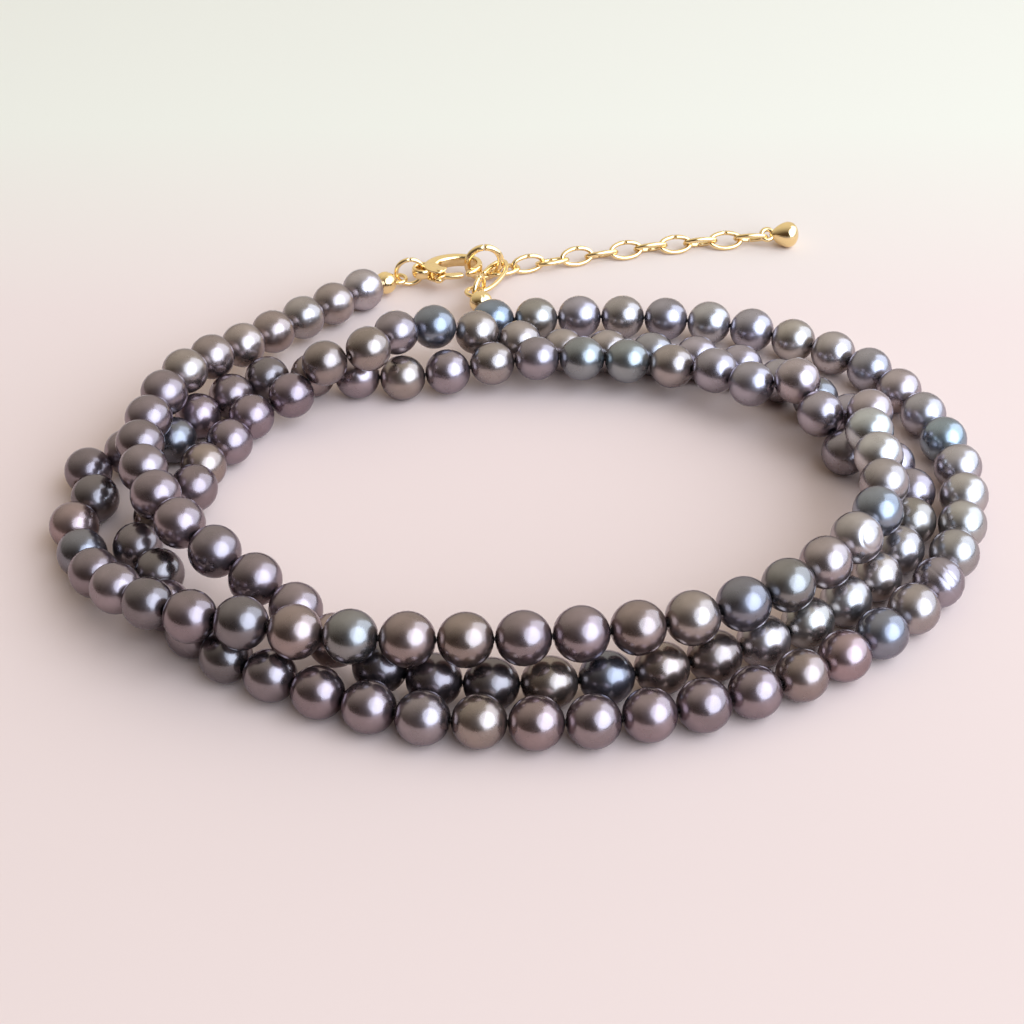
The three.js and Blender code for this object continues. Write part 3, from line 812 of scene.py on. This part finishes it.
arm = between(LEVER_OUTER, LEVER_INNER, ARM["from"], ARM["to"], LEVER_HALF, steps=32)
heel_path = on_circle(RIVET["u"], RIVET["v"], HEEL["radius"])
heel = sweep(heel_path, UP, HEEL["half_width"], LEVER_HALF, closed=True, roundness=3.0)
share, fullness = rounded_off(steps=20, power=8)
tab_line = np.outer(share, np.subtract(TAB["end"], TAB["top"])) + TAB["top"]
tab_path = on_clasp(*tab_line.T)
tab_width = np.interp(share, [0, 1], TAB["wide"]) * fullness
tab = sweep(tab_path, UP, tab_width, LEVER_HALF * fullness, roundness=3.0)
gilded("clasp_lever_gold", [arm, heel, tab], "clasp_lever", body="lever")

# %% [markdown]
# ## Extender chain and drop
#
# A few centimetres of cable chain let the wearer choose the length. Its oval links hook through
# each other, each turned a quarter round from the last, and lying on a table they settle half
# tilted to one side and half to the other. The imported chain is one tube, so its corners give the
# way: a cubic curve is fitted to them and to both ends, and the links are set along it at even
# steps.
#
# A polished drop ends the chain. It is turned: narrow at its eye and full at the far end.

# %% The chain's way
CHAIN_WIRE = 0.29 * MM
CHAIN_HALF_WIDTH = 0.98 * MM
CHAIN_PLAY = 0.06 * MM          # slack between two links that hook through each other
CHAIN_LINKS = 11
DROP_RADIUS = 1.6 * MM
DROP_EYE = {"radius": 0.7 * MM, "wire": 0.3 * MM}
RING_REACH = 0.5 * MM           # the first link ends this far from the middle of the hook ring
WAY_DEGREE = 3
WAY_STEPS = 400

ring_middle = own_axes("hook_ring")[0]
drop = ball_centres("end_drop", DROP_RADIUS)[0]
drop_eye = drop - (DROP_RADIUS + DROP_EYE["radius"]) * RIGHT
first_end = ring_middle + RING_REACH * nose_way
last_end = drop_eye + (CHAIN_WIRE + DROP_EYE["wire"] - DROP_EYE["radius"]) * RIGHT
tube = facets("extender_chain").reshape(-1, 3)
ends = np.repeat([first_end, last_end], len(tube), axis=0)  # each end weighs as much as the tube
known = np.vstack([tube, ends])
curve = np.polynomial.Polynomial.fit(known[:, 0], known[:, 1], WAY_DEGREE)
way_x = np.linspace(first_end[0], last_end[0], WAY_STEPS)
way_y = curve(way_x)
run = np.concatenate([[0], np.cumsum(np.hypot(np.diff(way_x), np.diff(way_y)))])
pitch = (run[-1] - 2 * CHAIN_WIRE - CHAIN_PLAY) / CHAIN_LINKS
half_length = pitch / 2 + CHAIN_WIRE + CHAIN_PLAY / 2
print("chain", run[-1] / MM, "mm, pitch", pitch / MM, "mm, half a link", half_length / MM, "mm")

# %% The links
# Tilt of each link about its own length, in degrees: the first lies flat in the hook ring.
TILTS = np.array([0, 80, -20, 62, -38, 47, -45, 44, -47, 45, -44])
# How high its neighbours hold each link's middle, and how high it lies when it rests on one side.
LIFTS = np.array([1.0, 1.12, 0.98, 1.02, 0.92, 0.9, 0.9, 0.9, 0.9, 0.95, 1.2]) * MM
RESTING = CHAIN_HALF_WIDTH * np.abs(np.sin(np.radians(TILTS))) + CHAIN_WIRE
heights = np.maximum(LIFTS, RESTING)
links = []
for number in range(CHAIN_LINKS):
    stations = half_length + number * pitch + np.array([-1, 0, 1]) * half_length / 2
    place = np.interp(stations, run, way_x)
    centre = np.array([place[1], curve(place[1]), heights[number]])
    ahead = unit(np.array([place[2] - place[0], curve(place[2]) - curve(place[0]), 0.0]))
    tilt = np.radians(TILTS[number])
    across = np.cos(tilt) * np.cross(UP, ahead) + np.sin(tilt) * UP
    links.append(wire_loop(
        centre, across, ahead, CHAIN_HALF_WIDTH, half_length, CHAIN_WIRE, RING_SLIT))
gilded("extender_links", links, "extender_chain")

# %% The drop and its eye
DROP_TILT = np.radians(40)
DROP_NECK = 0.45 * MM           # the drop reaches this far past its ball, towards the eye
DROP_TAPER = 0.8                # how quickly it narrows towards its eye
DROP_ENDS = (0.08, 0.05)        # angles from the axis to the first circle and the last

# At angle t the drop's radius is its largest radius * sin(t) sin(t / 2)^taper, made 1 at its most.
angle = np.linspace(DROP_ENDS[0], np.pi - DROP_ENDS[1], 40)
drop_along = -np.cos(angle) * (DROP_RADIUS + DROP_NECK / 2) - DROP_NECK / 2
drop_shape = np.sin(angle) * np.sin(angle / 2) ** DROP_TAPER
drop_round = DROP_RADIUS * drop_shape / drop_shape.max()
bead = turned(drop, RIGHT, UP, drop_along, drop_round, points=48)
eye_across = np.cos(DROP_TILT) * np.cross(UP, RIGHT) + np.sin(DROP_TILT) * UP
reach = DROP_EYE["radius"]
bail = wire_loop(drop_eye, RIGHT, eye_across, reach, reach, DROP_EYE["wire"])
gilded("drop", [bead, bail], "end_drop")

# %% [markdown]
# ## The floor
#
# The string lies on pale cloth, rosy in front and creamy further back. A plain matt sheet stands
# in for it, and its colour changes slowly with the distance: a colour ramp reads the Y of each
# place. Being matt, it scatters light evenly and has no glint of its own. It matters to the
# pearls, because the lower half of each one mirrors it, and that is where their rosy undersides
# come from.

# %% The floor
FLOOR_HALF = 1.5
# The colour at each Y.
FLOOR_TINTS = {-60 * MM: "#d3bcb1", 0.0: "#d9c1b6", 30 * MM: "#dac4b9", 80 * MM: "#dbd3c2"}
SQUARE = ((-1, -1), (1, -1), (1, 1), (-1, 1))

paper, tree, shader = new_material("paper_matt", Roughness=0.9)
where = add_node(tree, "ShaderNodeTexCoord").outputs["Object"]
depth_of_place = add_node(tree, "ShaderNodeSeparateXYZ", links={0: where}).outputs["Y"]
nearest, furthest = min(FLOOR_TINTS), max(FLOOR_TINTS)
share = add_node(
    tree, "ShaderNodeMapRange", {"From Min": nearest, "From Max": furthest},
    {"Value": depth_of_place})
floor_tint = add_node(tree, "ShaderNodeValToRGB", links={0: share.outputs["Result"]})
stops = floor_tint.color_ramp.elements
while len(stops) < len(FLOOR_TINTS):
    stops.new(0.5)              # anywhere, because its place is set below
for stop, (distance, tint) in zip(stops, FLOOR_TINTS.items()):
    stop.position = (distance - nearest) / (furthest - nearest)
    stop.color = linear(tint)
tree.links.new(floor_tint.outputs["Color"], shader.inputs["Base Color"])

mesh = bpy.data.meshes.new("floor")
floor_corners = [(x * FLOOR_HALF, y * FLOOR_HALF, 0) for x, y in SQUARE]
mesh.from_pydata(floor_corners, [], [(0, 1, 2, 3)])
mesh.materials.append(paper)
floor = bpy.data.objects.new("floor", mesh)
bpy.context.scene.collection.objects.link(floor)
print("floor tints", FLOOR_TINTS)

# %% [markdown]
# ## The room
#
# Polished pearls mirror the room, so the room is half of their look. It is dim and brown in front
# of the string and pale towards the back, and where the two meet, a soft horizon crosses every
# pearl and the gold turns from dark to bright.
#
# Most light comes from the right. A wide window stands there, and a round patch of sky shows
# through its front half. Each pearl mirrors both to the right of its middle: a bright spot where
# they overlap, and a paler sheen beside it where only the window shows. Both are a little blue,
# as daylight is against the warm room.

# %% The room's own light
ROOM_FRONT = "#4d4034"
ROOM_BACK = "#f1ebdd"
ROOM_TURN = {"From Min": -0.25, "From Max": 1.1}    # cosines of the angle from the bright back
BRIGHT_WAY = (0.0, 0.75, 0.66)  # towards the bright back

world = bpy.data.worlds.new("room")
world.use_nodes = True
bpy.context.scene.world = world
tree = world.node_tree
ray = add_node(tree, "ShaderNodeTexCoord").outputs["Generated"]
backward = add_node(
    tree, "ShaderNodeVectorMath", {"operation": "DOT_PRODUCT", 1: BRIGHT_WAY}, {0: ray})
brightness = add_node(
    tree, "ShaderNodeMapRange", {**ROOM_TURN, "interpolation_type": "SMOOTHSTEP"},
    {"Value": backward.outputs["Value"]})
# Sockets 6 and 7 of a Mix node are its colours A and B, and its output 2 is their mixture.
room = add_node(
    tree, "ShaderNodeMix", {"data_type": "RGBA", 6: linear(ROOM_FRONT), 7: linear(ROOM_BACK)},
    {0: brightness.outputs["Result"]})
tree.links.new(room.outputs[2], tree.nodes["Background"].inputs["Color"])
print(world.name, "from", ROOM_FRONT, "in front to", ROOM_BACK, "at the back")

# %% The window and the sky
DAYLIGHT = "#d6e8ff"
WINDOW = {"place": (0.5, -0.55, 0.575), "way": (1, 0, 0), "size": (2.1, 1.05), "watts": 16.0}
SKY_PLACE = (0.56, -0.54, 0.62)
SKY = {"place": SKY_PLACE, "way": SKY_PLACE, "size": (1.3, 1.3), "watts": 14.0}


def soft_light(name, shape, place, way, size, watts):
    """A daylight lamp of a width and a height at a place, shining against the direction `way`."""
    data = bpy.data.lights.new(name, "AREA")
    data.shape = shape
    data.size, data.size_y = size
    data.energy = watts
    data.color = linear(DAYLIGHT)[:3]
    lamp = bpy.data.objects.new(name, data)
    lamp.location = place
    lamp.rotation_euler = Vector(way).to_track_quat("Z", "Y").to_euler()
    lamp.visible_camera = False
    bpy.context.scene.collection.objects.link(lamp)
    print(name, "of", watts, "W and", size, "m at", place)


soft_light("window", "RECTANGLE", **WINDOW)
soft_light("sky", "ELLIPSE", **SKY)

# %% [markdown]
# ## The camera
#
# A short telephoto lens stands 17 cm in front of the coil's middle and 12 cm above the table,
# tilted down by two fifths of a right angle.

# %% The camera
FOCAL_LENGTH = 68.1
SENSOR_WIDTH = 36.0
CAMERA_TILT = np.radians(36.38)
CAMERA_PLACE = (-1.24 * MM, -169.4 * MM, 117.0 * MM)

lens = bpy.data.cameras.new("camera")
lens.lens = FOCAL_LENGTH
lens.sensor_width = SENSOR_WIDTH
lens.clip_start = 1 * MM
camera = bpy.data.objects.new("camera", lens)
camera.location = CAMERA_PLACE
camera.rotation_euler = (np.pi / 2 - CAMERA_TILT, 0, 0)
bpy.context.scene.collection.objects.link(camera)
bpy.context.scene.camera = camera
bpy.context.scene.view_settings.view_transform = "Standard"
print("camera at", CAMERA_PLACE, "m, focal length", FOCAL_LENGTH, "mm")
